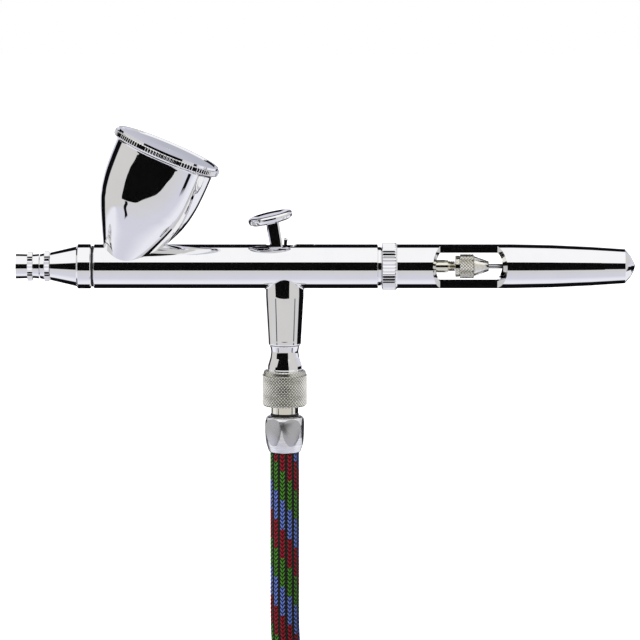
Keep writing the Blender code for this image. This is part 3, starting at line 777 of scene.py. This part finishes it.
def hose_points():
    """The hose's centreline: down from the nut, six turns in two columns, and half a turn back on top. Where
    the hose comes in, the turns lie a little further in, to leave room for it."""
    radius = HOSE_D / 2
    lying = COIL_TOP + 0.3 + radius
    places = [(r, COIL_BASE + radius + layer * HOSE_D) for r, layer in COIL_CELLS] + [(COIL_INNER, lying)]
    points = list(HOSE_ROUTE)
    for lap in range(len(COIL_CELLS)):
        for step in range(TURN_POINTS):
            share = step / TURN_POINTS
            angle = 90.0 - 360.0 * share
            t = min(1.0, max(0.0, (share - BLEND_FROM) / (1.0 - BLEND_FROM)))
            t = t * t * (3 - 2 * t)
            r = places[lap][0] + (places[lap + 1][0] - places[lap][0]) * t
            z = places[lap][1] + (places[lap + 1][1] - places[lap][1]) * t
            first = lap == 0 and share < 0.5
            points.append(ring_point(r - (0.0 if first else push(angle)), angle, z))
    for step in range(TURN_POINTS // 2):
        share = step / (TURN_POINTS // 2)
        angle = 90.0 - 180.0 * share
        rise = max(0.0, (share - 0.11) / 0.89) ** 2
        points.append(ring_point(COIL_INNER - push(angle), angle, lying + rise * (END_Z - lying)))
    points.append((COIL_X, COIL_Y - COIL_INNER, END_Z))
    points.append((END_X, COIL_Y - COIL_INNER, END_Z))
    return points


def push(angle):
    off = abs((angle - PUSH_AT + 180.0) % 360.0 - 180.0)
    return PUSH * (1 + math.cos(math.pi * off / PUSH_REACH)) / 2 if off < PUSH_REACH else 0.0


def ring_point(radius, angle, z):
    turn = math.radians(angle)
    return (COIL_X + radius * math.cos(turn), COIL_Y + radius * math.sin(turn), z)


def hose_bulge(angle, travel):
    """Ribs of knitted V stitches. The stitches are shaped where the rows are close enough to carry them."""
    count = (angle - RIB_TURN) * RIBS / (2 * math.pi)
    away = np.abs(count - np.round(count))
    rib = np.clip((RIB_SHARE + 0.05 - away) / 0.1, 0.0, 1.0)
    leg = travel / STITCH + away * 2.4
    stitch = np.sin(np.pi * (leg - np.floor(leg))) * np.clip(away / 0.08, 0.35, 1.0)
    fine = np.clip((FINE_END - 1.0 - travel) / 1.0, 0.0, 1.0)
    return rib * (0.08 + 0.10 * (fine * stitch + (1 - fine) * 0.55))


def build_hose():
    line = smooth_path(hose_points(), FINE_PITCH)
    path = [line[0]]
    travel = 0.0
    kept = 0.0
    for before, here in zip(line, line[1:]):
        travel += (here - before).length
        if travel - kept >= (FINE_PITCH if travel < FINE_END else COARSE_PITCH) - 1e-4:
            path.append(here)
            kept = travel
    path.append(line[-1])
    slots = np.array([-0.32, -0.17, 0.0, 0.17, 0.32, 0.5])
    angles = (np.arange(RIBS)[:, None] + slots[None, :]).ravel() * 2 * math.pi / RIBS + RIB_TURN
    hose, travels = pipe("hose", path, 3.56, angles, bulge=hose_bulge)
    lay_map(hose, len(path), angles, travels)
    shown(hose, "gun", "braid", BRAID, "air_hose", "hose_coil", "hose_end")
    return hose, path


def lay_map(obj, rows, angles, travels):
    """A UV map with turns around the pipe in U and millimetres along it in V."""
    mesh = obj.data
    sides = len(angles)
    layer = mesh.uv_layers.new(name="lay")
    corner = read(mesh.loops, "vertex_index", int)
    totals = read(mesh.polygons, "loop_total", int)
    owner = np.repeat(np.arange(len(totals)), totals)
    turns = np.tile(angles / (2 * math.pi), rows)
    turns = np.concatenate([turns, [0.0, 0.0]])
    along = np.concatenate([np.repeat(travels, sides), [travels[0], travels[-1]]])
    u = turns[corner]
    top = np.full(len(totals), -1e9)
    np.maximum.at(top, owner, u)
    u = np.where(top[owner] - u > 0.5, u + 1.0, u)
    layer.data.foreach_set("uv", np.stack([u, along[corner]], 1).astype(np.float32).ravel())


# ---------------------------------------------------------------- barrel and cup

LEAN = at(*CUP_MOUTH) @ Matrix.Rotation(CUP_LEAN, 4, "Y")
BARREL_LINE = [
    (-48.6, 0.0), (-48.6, 5.43), (-48.4, BARREL_R), (23.6, BARREL_R), (23.8, 5.43), (23.8, 4.95),
    (24.55, 4.95), (24.55, 4.7), (29.5, 4.7), (29.5, 0.0),
]
BOSS_LINE = [
    (-20.1, 0.0), (-20.1, 4.0), (-19.8, 4.17), (-18.9, 4.2, 2.0), (-7.6, BOSS_R, 8.0), (-2.8, BOSS_R),
    (-2.8, 0.0),
]
BEAD_R = 0.45
CUP_LINE = [
    (-31.0, 4.5), (-28.2, 5.93), (-25.0, 7.6), (-21.8, 9.25), (-19.5, 10.35), (-17.2, 11.3), (-15.5, 11.8),
    (-13.9, 12.2), (-10.5, 12.7), (-6.0, 12.95), (-1.7, 13.0),
]


def slot_cutter(name, x_low, x_high, half, low, high):
    """A slot along X with a rounded end at +X."""
    outline = [(x_low, -half)]
    for step in range(13):
        angle = math.radians(-90 + 15 * step)
        outline.append((x_high - half + half * math.cos(angle), half * math.sin(angle)))
    outline.append((x_low, half))
    return extruded(name, *[[(x, y, z) for x, y in outline] for z in (low, high)])


def build_barrel():
    barrel = eased(BARREL_LINE, 0.08)
    boss = eased(BOSS_LINE, 0.1)
    bore = [(-49.6, 0.0), (-49.6, 4.3), (-45.4, 4.3), (-45.4, 1.5), (-33.0, 1.5), (-33.0, 2.4), (-13.0, 2.4),
            (-13.0, 3.4), (6.0, 3.4), (6.0, 4.1), (30.5, 4.1), (30.5, 0.0)]
    stack = [(-21.1, 0.0), (-21.1, 3.3), (-12.0, 3.3), (-12.0, 2.3), (-8.0, 2.3), (-8.0, 1.45), (-7.0, 1.45),
             (-7.0, 2.4), (-1.0, 2.4), (-1.0, 0.0)]
    feed = rod_line(-32.0, -20.0, 1.6)
    obj = turned("barrel", barrel, ALONG_X, 192)
    combine(obj, "UNION", turned("boss_form", boss, UPRIGHT, 160))
    combine(obj, "DIFFERENCE", turned("bore_form", bore, ALONG_X, 96),
            turned("stack_form", stack, UPRIGHT, 96), turned("feed_form", feed, LEAN, 64))
    combine(obj, "DIFFERENCE", slot_cutter("stem_form", -4.6, 3.6, 2.2, 1.0, 9.0),
            slot_cutter("rear_form", 0.5, 7.95, 1.1, 1.0, 9.0))
    polish(obj, (ALONG_X, barrel), (UPRIGHT, boss), (ALONG_X, bore), (UPRIGHT, stack), (LEAN, feed))
    shown(obj, "gun", "chrome", CHROME, "body_shell")
    shown(solder_bead("boss_bead"), "gun", "chrome", CHROME)


def solder_bead(name):
    """The fillet between the barrel and the boss, as a ball rolled along their joint would leave it."""
    steps, arc = 192, 8
    points = []
    for step in range(steps):
        angle = 2 * math.pi * step / steps
        reach = BOSS_R + BEAD_R
        x, y = reach * math.cos(angle), reach * math.sin(angle)
        z = -math.sqrt((BARREL_R + BEAD_R) ** 2 - y * y)
        centre = Vector((x, y, z))
        on_barrel = Vector((x, y * BARREL_R / (BARREL_R + BEAD_R), z * BARREL_R / (BARREL_R + BEAD_R)))
        on_boss = Vector((BOSS_R * math.cos(angle), BOSS_R * math.sin(angle), z))
        start, end = on_barrel - centre, on_boss - centre
        for part in range(arc + 1):
            points.append(tuple(centre + start.slerp(end, part / arc).normalized() * (BEAD_R - 0.004)))
        points.append(tuple(on_boss * 0.9 + Vector((0, 0, 0.8))))
    return make(name, points, band_faces(steps, arc + 2), sharp=50.0)


def build_cup():
    outside = smooth_path([(a, r, 0.0) for a, r in CUP_LINE], 0.5)
    outline = [(point.x, point.y) for point in outside[:-1]] + eased([
        CUP_LINE[-1], (-1.4, 12.7), (-1.4, 12.05), (-1.7, 11.95), (-13.6, 11.4, 4.0), (-22.5, 7.2, 3.0),
        (-25.5, 1.6), (-31.0, 1.6),
    ], 0.12)
    cup = turned("cup", outline, LEAN, 224)
    seat = turned("seat_form", rod_line(-62.0, -15.0, BARREL_R - 0.03), ALONG_X, 192)
    combine(cup, "DIFFERENCE", seat)
    polish(cup, (Matrix.Identity(4), outline))
    shown(cup, "gun", "chrome", CHROME, "fluid_cup")
    rim = eased([
        (-1.15, 13.9), (-0.8, 14.3), (0.28, 14.3), (0.44, 14.15), (0.46, 13.75, 0.0), (1.02, 13.72, 0.0),
        (1.0, 12.9, 0.0), (0.74, 12.72, 0.0), (0.735, 11.9), (0.69, 1.0), (0.68, 0.7), (0.68, 0.5),
        (-0.1, 0.5), (-0.1, 10.9), (-2.4, 10.9), (-2.4, 11.7), (-1.15, 11.7),
    ], 0.08)
    rim = dense(rim, -0.81, 0.29, 0.15)
    lid = turned("lid", rim, LEAN, 896, straight_knurl(-1.0, 0.4, 112, 0.26, 0.7))
    shown(lid, "lid", "chrome", CHROME, "cup_lid")


# ---------------------------------------------------------------- spray head


def build_head():
    base = [
        (-59.7, 3.5), (-53.24, 5.04), (-53.0, 5.1), (-52.85, 5.3), (-52.6, 5.68), (-49.5, 5.68),
        (-49.25, 5.45), (-49.25, 4.2), (-45.55, 4.2), (-45.55, 1.5), (-53.1, 1.5), (-53.1, 2.15),
        (-56.5, 2.15), (-56.5, 2.6), (-59.7, 2.6),
    ]
    turned_piece("spray_head", base, 0.06, 160, "gun", "chrome", CHROME, "head_base")
    seal = [(-49.17, 4.4), (-48.7, 4.4), (-48.7, 5.2), (-49.17, 5.2)]
    turned_piece("seal_ring", seal, 0.15, 128, "gun", "rubber", RUBBER, "head_seal")
    nozzle = [
        (-65.0, 0.34), (-65.0, 0.5), (-56.4, 1.85), (-56.4, 2.03), (-53.3, 2.03), (-53.3, 0.95),
        (-56.0, 0.78),
    ]
    turned_piece("paint_nozzle", nozzle, 0.05, 64, "gun", "brass", BRASS, "fluid_nozzle")
    cap = dense(eased([
        (-64.5, 0.95), (-64.5, 2.05), (-62.3, 2.05), (-62.3, 3.1), (-61.24, 3.33), (-61.1, 3.78),
        (-59.9, 3.78), (-59.85, 2.48), (-57.3, 2.48), (-57.3, 2.15), (-60.5, 1.85),
    ], 0.08), -61.05, -59.95, 0.2)
    obj = turned("air_cap", cap, ALONG_X, 288, straight_knurl(-61.1, -59.88, 24, 0.3, 0.95))
    shown(obj, "gun", "chrome", CHROME, "nozzle_cap")
    guard = dense(eased([
        (-68.45, 2.25), (-68.45, 3.15), (-65.5, 3.07), (-65.45, 3.66), (-64.15, 3.66), (-64.1, 3.0),
        (-62.5, 3.15), (-62.5, 2.25),
    ], 0.09), -65.4, -64.2, 0.2)
    obj = turned("needle_guard", guard, ALONG_X, 288, straight_knurl(-65.44, -64.16, 24, 0.3, 0.95))
    shown(obj, "gun", "chrome", CHROME, "needle_cap")
    needle = [(-67.6, 0.0), (-66.9, 0.08), (-56.0, 0.59), (61.4, 0.59), (62.0, 0.3), (62.0, 0.0)]
    turned_piece("paint_needle", needle, 0.2, 48, "needle_set", "steel", STEEL, "needle")
    packing = ring_line(-32.9, -30.4, 0.72, 2.28)
    turned_piece("packing_ring", packing, 0.2, 64, "gun", "ptfe", PTFE, "needle_packing")
    screw = eased(ring_line(-30.2, -25.0, 0.8, 2.28), 0.12)
    screw = dense(screw, -30.2, -25.0, 0.06)
    obj = turned("packing_gland", screw, ALONG_X, 64, thread(-30.0, -25.6, 0.5, 0.16, 2.28))
    combine(obj, "DIFFERENCE", block("driver_form", (-26.0, -3.0, -0.45), (-24.0, 3.0, 0.45)))
    shown(obj, "gun", "brass", BRASS, "packing_screw")


# ---------------------------------------------------------------- trigger and needle drive


def build_trigger():
    px, _, pz = PIVOT
    foot = [(px + math.cos(a), pz + math.sin(a)) for a in (math.pi * (1 + step / 24) for step in range(25))]
    outline = foot + [
        (px + 1.0, -2.3), (px + 0.9, -2.1), (-0.43, 4.9), (-0.75, 7.2), (-1.4, 11.1), (-1.7, 12.1),
        (-5.2, 12.1), (-4.75, 11.1), (-3.65, 5.2), (-1.75, -2.1), (-1.0, -2.3),
    ]
    stem = plate("trigger_lever", outline, 1.6, 0.7, 1)
    for side in (-1, 1):
        cheek = block("cheek_form", (-3.0, side * 2.0 - 1.4, -5.0), (3.0, side * 2.0 + 1.4, -2.2))
        combine(stem, "DIFFERENCE", cheek)
    combine(stem, "DIFFERENCE", block("slit_form", (-5.0, -0.8, -1.4), (4.0, 0.8, 3.5), 0.5))
    pad = eased([
        (-1.15, 0.0), (-1.15, 4.7), (-0.75, 5.45), (-0.1, 5.78), (0.35, 5.78), (0.78, 5.5), (0.93, 4.95),
        (0.66, 3.2, 3.0), (0.45, 0.0),
    ], 0.35, 6)
    tilt = at(*PAD_CENTRE) @ Matrix.Rotation(PAD_TILT, 4, "Y")
    combine(stem, "UNION", turned("pad_form", pad, tilt, 160))
    across = at(*PIVOT) @ ACROSS
    hole = rod_line(-3.0, 3.0, 0.45)
    combine(stem, "DIFFERENCE", turned("hole_form", hole, across, 32))
    polish(stem, (tilt, pad), (across, hole))
    shown(stem, "trigger_lever", "chrome", CHROME, "trigger")
    turned_piece("pivot_pin", rod_line(-1.5, 1.5, 0.35), 0.08, 48, "piston", "steel", STEEL, "trigger_pin",
                 place=across)
    piston = eased([
        (-12.4, 0.0), (-12.4, 0.7), (-10.9, 0.7), (-10.9, 1.3), (-5.3, 1.3), (-4.9, 2.0), (-2.5, 2.0),
        (-2.5, 0.0),
    ], 0.08)
    obj = turned("piston_rod", piston, UPRIGHT, 64)
    combine(obj, "DIFFERENCE", block("yoke_form", (-3.0, -0.75, -4.7), (3.0, 0.75, -1.0)),
            turned("yoke_hole_form", hole, across, 32))
    shown(obj, "piston", "steel", STEEL, "air_piston")


def build_lever():
    outline = [
        (3.35, -1.0), (3.2, 0.2), (2.65, 1.6), (1.35, 3.3), (0.55, 4.9), (0.7, 6.5), (0.62, 6.9),
        (-0.05, 6.9), (-0.14, 6.4), (-0.25, 4.9), (0.1, 3.5), (1.2, 1.6), (1.8, 0.2), (1.85, -1.2),
        (2.1, -2.0), (2.6, -2.2), (3.1, -2.0),
    ]
    lever = plate("needle_lever", outline, 1.35, 0.16)
    combine(lever, "DIFFERENCE", block("needle_form", (-1.0, -0.8, -0.85), (5.0, 0.8, 0.85), 0.3))
    for side in (-1, 1):
        finger = block("finger_form", (-2.0, side * 1.9 - 1.0, 3.0), (3.0, side * 1.9 + 1.0, 8.0))
        combine(lever, "DIFFERENCE", finger)
    turns = np.linspace(0.0, math.pi, 17)
    ball = [(-0.52 * math.cos(a), 0.52 * math.sin(a)) for a in turns[:-1]] + [(0.52, 0.0)]
    combine(lever, "UNION", turned("ball_form", ball, at(0.28, 0.0, 6.78), 32))
    across = at(*LEVER_PIN) @ ACROSS
    hole = rod_line(-3.0, 3.0, 0.42)
    combine(lever, "DIFFERENCE", turned("hole_form", hole, across, 32))
    shown(lever, "rear_lever", "chrome", CHROME, "aux_lever")
    turned_piece("lever_pin", rod_line(-2.1, 2.1, 0.32), 0.08, 48, "needle_set", "steel", STEEL,
                 "aux_lever_pin", place=across)


def helix(low, high, radius, turns, upright):
    points = []
    for step in range(turns * 24 + 1):
        angle = 2 * math.pi * step / 24
        along = low + (high - low) * step / (turns * 24)
        across = (radius * math.cos(angle), radius * math.sin(angle))
        points.append((*across, along) if upright else (along, *across))
    return points


def build_needle_drive():
    round_wire = np.arange(10) * math.pi / 5
    guide = dense(eased([
        (17.0, 3.0), (17.0, 4.0), (29.4, 4.0), (29.6, 3.4), (34.0, 3.4), (34.0, 1.75), (32.6, 1.75),
        (32.6, 3.0),
    ], 0.1), 17.0, 29.3, 0.1)
    obj = turned("spring_case", guide, ALONG_X, 96, thread(17.4, 29.2, 0.7, 0.2, 4.0))
    shown(obj, "gun", "brass", BRASS, "spring_guide")
    spring, _ = pipe("return_spring", helix(8.0, 32.2, 2.25, 10, False), 0.28, round_wire, (0.0, 1.0, 0.0))
    shown(spring, "gun", "steel", STEEL, "needle_spring")
    shank = dense(eased([
        (5.7, 0.75), (5.7, 3.2), (7.6, 3.2), (7.6, 1.6), (41.65, 1.6), (41.65, 1.33), (43.35, 1.33),
        (43.35, 0.75),
    ], 0.1), 37.0, 43.3, 0.07)
    thick = thread(37.4, 41.45, 0.62, 0.22, 1.6)
    thin = thread(41.75, 43.3, 0.5, 0.16, 1.33)

    def both(angle, along, radius):
        return thick(angle, along, radius) * (radius > 1.5) + thin(angle, along, radius) * (radius < 1.4)

    obj = turned("chuck_shank", shank, ALONG_X, 96, both)
    for side in (-1, 1):
        low = (1.7, side * 1.85 - 0.3, -2.0)
        high = (6.2, side * 1.85 + 0.3, -0.8)
        combine(obj, "UNION", block("ear_form", low, high, 0.1))
    across = at(*LEVER_PIN) @ ACROSS
    hole = rod_line(-3.0, 3.0, 0.42)
    combine(obj, "DIFFERENCE", turned("hole_form", hole, across, 32))
    shown(obj, "needle_set", "nickel", NICKEL, "chuck_guide")
    nut = dense(eased([
        (43.5, 0.75), (43.5, 2.6), (43.6, 2.7), (44.5, 2.7), (44.6, 2.5), (44.7, 3.07), (48.15, 3.07),
        (48.25, 2.6), (52.0, 1.24), (52.0, 0.75),
    ], 0.06), 44.65, 48.2, 0.1)
    obj = turned("chuck", nut, ALONG_X, 240, diamond_knurl(44.72, 48.12, CHUCK_TEETH, 0.2, CHUCK_R))
    shown(obj, "chuck", "nickel", CHUCK_KNURL, "chuck_nut")


def build_handle():
    outline = eased([
        (24.7, 0.0), (24.7, 5.5), (24.95, 6.0), (28.4, 6.0), (28.66, BARREL_R), (58.0, BARREL_R, 30.0),
        (68.0, 5.42, 30.0), (78.0, 4.95, 30.0), (86.7, 4.37), (88.2, 2.6, 0.9), (89.0, 1.1, 0.6), (89.3, 0.0),
    ], 0.07)
    rows = dense(outline, 24.95, 28.4, 0.25)
    bore = [(81.0, 0.0), (80.0, 1.5), (60.5, 1.5), (59.0, 4.05), (31.0, 4.05), (31.0, 4.8), (24.0, 4.8),
            (24.0, 0.0)]
    knurl = straight_knurl(24.99, 28.36, 40, 0.3, 0.9)
    handle = turned("handle_tube", rows, ALONG_X, 400, lambda a, x, r: knurl(a, x, r) * (r > BARREL_R))
    combine(handle, "DIFFERENCE", turned("handle_bore_form", bore, ALONG_X, 128))
    window = [(37.3, 6.5), (39.6, 1.75), (54.2, 1.75), (57.2, 6.5)]
    for side in (-1, 1):
        cutter = plate("window_form", [(x, side * y) for x, y in window], 7.0, 0.0)
        cutter.data.transform(Matrix.Rotation(math.pi / 2, 4, "X"))
        combine(handle, "DIFFERENCE", cutter)
    body_line = [(28.5, 0.0)] + [point for point in outline if point[0] > 28.5]
    polish(handle, (ALONG_X, body_line), (ALONG_X, bore))
    shown(handle, "handle_shell", "chrome", CHROME, "handle")


# ---------------------------------------------------------------- air valve and hose fittings


def build_valve():
    round_wire = np.arange(10) * math.pi / 5
    casing = [
        (-32.6, 2.25), (-32.6, 4.3), (-32.3, 4.5), (-26.5, 4.5), (-26.3, 4.35), (-25.5, 4.35),
        (-23.4, 3.7, 1.5), (-21.9, 3.5, 2.0), (-20.5, 3.75, 1.5), (-20.25, 4.0), (-20.2, 3.2), (-12.7, 3.2),
        (-12.7, 0.95), (-14.2, 0.95), (-14.2, 2.25),
    ]
    turned_piece("valve_body", casing, 0.06, 160, "gun", "chrome", CHROME, "valve_casing", place=UPRIGHT)
    rings = [
        ("rod_packing", ring_line(-8.8, -8.1, 1.4, 2.2), "gun", "ptfe", PTFE, "piston_packing"),
        ("rod_guide", ring_line(-11.6, -8.9, 1.42, 2.2), "gun", "brass", BRASS, "valve_guide_screw"),
        ("plunger", [
            (-16.5, 0.0), (-16.5, 1.75), (-14.95, 1.75), (-14.95, 0.65), (-12.5, 0.65), (-12.5, 0.0),
        ], "piston", "brass", BRASS, "valve_plunger"),
        ("plunger_seal", ring_line(-14.85, -14.3, 0.8, 1.6), "piston", "rubber", RUBBER, "valve_seal"),
        ("spring_screw", ring_line(-32.5, -30.0, 0.9, 2.12), "gun", "brass", BRASS, "valve_spring_screw"),
    ]
    for name, outline, body, slot, material, node in rings:
        turned_piece(name, outline, 0.1, 64, body, slot, material, node, place=UPRIGHT)
    spring, _ = pipe("plunger_spring", helix(-29.6, -16.95, 1.4, 6, True), 0.23, round_wire, (1.0, 0.0, 0.0))
    shown(spring, "gun", "steel", STEEL, "valve_spring")


def build_fitting(prefix, place, swivel_body, spin, satin):
    """A hose end: its swivel nut, gasket, nipple, ring and hexagonal compression nut."""
    nut = dense(eased([
        (NUT_FOOT, 3.7), (NUT_FOOT, 5.3), (NUT_FOOT + 0.4, NUT_R - 0.02), (NUT_TOP - 1.1, NUT_R - 0.02),
        (NUT_TOP - 1.0, 5.45), (NUT_TOP - 0.25, 5.35), (NUT_TOP, 5.1), (NUT_TOP, 4.65), (-34.5, 4.65),
        (-34.5, 3.7),
    ], 0.07), NUT_FOOT + 0.1, NUT_TOP - 1.02, 0.105)
    knurl = diamond_knurl(NUT_FOOT - 0.01, NUT_TOP - 1.12, NUT_TEETH, 0.3, NUT_R)
    obj = turned(prefix + "knurled_nut", nut, place, 420, knurl)
    shown(obj, swivel_body, "nickel", NUT_KNURL, prefix + "swivel_nut")
    gasket = turned_piece(prefix + "washer", ring_line(-33.6, -32.8, 2.0, 4.3), 0.2, 64, "gun", "rubber",
                          RUBBER, prefix + "gasket", place=place)
    neck = [
        (-47.3, 1.0), (-47.3, 1.9), (-37.85, 1.9), (-37.85, NECK_R), (-34.35, NECK_R), (-34.35, 4.4),
        (-33.7, 4.4), (-33.7, 1.0),
    ]
    neck = turned_piece(prefix + "neck", neck, 0.1, 128, "gun", "nickel", NICKEL, prefix + "nipple",
                        place=place)
    ring = turned_piece(prefix + "ring", ring_line(-38.4, -37.92, 2.1, 3.6), 0.18, 96, "gun", "rubber",
                        RUBBER, prefix + "nipple_ring", place=place)
    bullet = eased([
        (-47.8, 2.8), (-47.8, 3.9), (-47.6, 4.1, 0.3), (-45.8, 4.7, 3.0), (-43.9, 5.1, 3.0),
        (-41.6, 5.36, 3.0), (-40.4, 5.3, 1.5), (-39.4, 5.0, 1.0), (-38.8, 4.6, 0.6), (-38.5, 4.1),
        (-38.5, 2.8),
    ], 0.12, 5)
    hexagon = turned(prefix + "hexagon", bullet, place, 192)
    prism = rod_line(-50.0, -36.0, HEX_HALF / math.cos(math.pi / 6))
    combine(hexagon, "INTERSECT", turned("prism_form", prism, place @ Matrix.Rotation(spin, 4, "Z"), 6))
    polish(hexagon, (Matrix.Identity(4), bullet))
    shown(hexagon, "gun", "satin_steel", satin, prefix + "compression_nut")
    return [obj, gasket, neck, ring, hexagon]


# ---------------------------------------------------------------- strap round the coil


def build_strap():
    """A woven strap round the turns."""
    west = COIL_X - COIL_OUTER - HOSE_D / 2 - 1.0
    east = COIL_X - COIL_INNER + HOSE_D / 2 + 1.0
    low, high = COIL_BASE - 0.1, COIL_TOP + 0.1
    corners = [(west, low), (east, low), (east, high), (west, high)]
    line = eased([(x + 200.0, z + 300.0) for x, z in corners], 2.4, 8)
    middle = Vector(((west + east) / 2 + 200.0, (low + high) / 2 + 300.0))
    ring = [Vector(point) for point in line]
    half = 6.0
    points = []
    widths = [-half, -half + 0.35, -half * 0.4, half * 0.4, half - 0.35, half]
    lifts = [0.12, 0.45, 0.5, 0.5, 0.45, 0.12]
    for i, point in enumerate(ring):
        run = ring[(i + 1) % len(ring)] - ring[i - 1]
        out = Vector((run.y, -run.x)).normalized()
        if (point - middle).dot(out) < 0:
            out = -out
        for y in widths:
            points.append((point.x - 200.0, COIL_Y + y, point.y - 300.0))
        for y, lift in zip(reversed(widths), reversed(lifts)):
            outer = point + out * lift
            points.append((outer.x - 200.0, COIL_Y + y, outer.y - 300.0))
    strap = make("coil_strap", points, band_faces(len(ring), 2 * len(widths)), sharp=60.0)
    return shown(strap, "gun", "strap", STRAP, "coil_tie")


# ---------------------------------------------------------------- assembly


build_camera()
hose, hose_line = build_hose()
FAR_END = at(END_X - 47.5, COIL_Y - COIL_INNER, END_Z) @ Matrix.Rotation(-math.pi / 2, 4, "Y")
far_pieces = build_fitting("far_", FAR_END, "far_swivel", FAR_SPIN, FAR_HEX)
strap = build_strap()
for piece in (hose, strap, *far_pieces):
    piece.visible_glossy = False
build_world()
build_studio()
build_barrel()
build_cup()
build_head()
build_trigger()
build_lever()
build_needle_drive()
build_handle()
build_valve()
build_fitting("hose_", UPRIGHT, "swivel", NEAR_SPIN, NEAR_HEX)
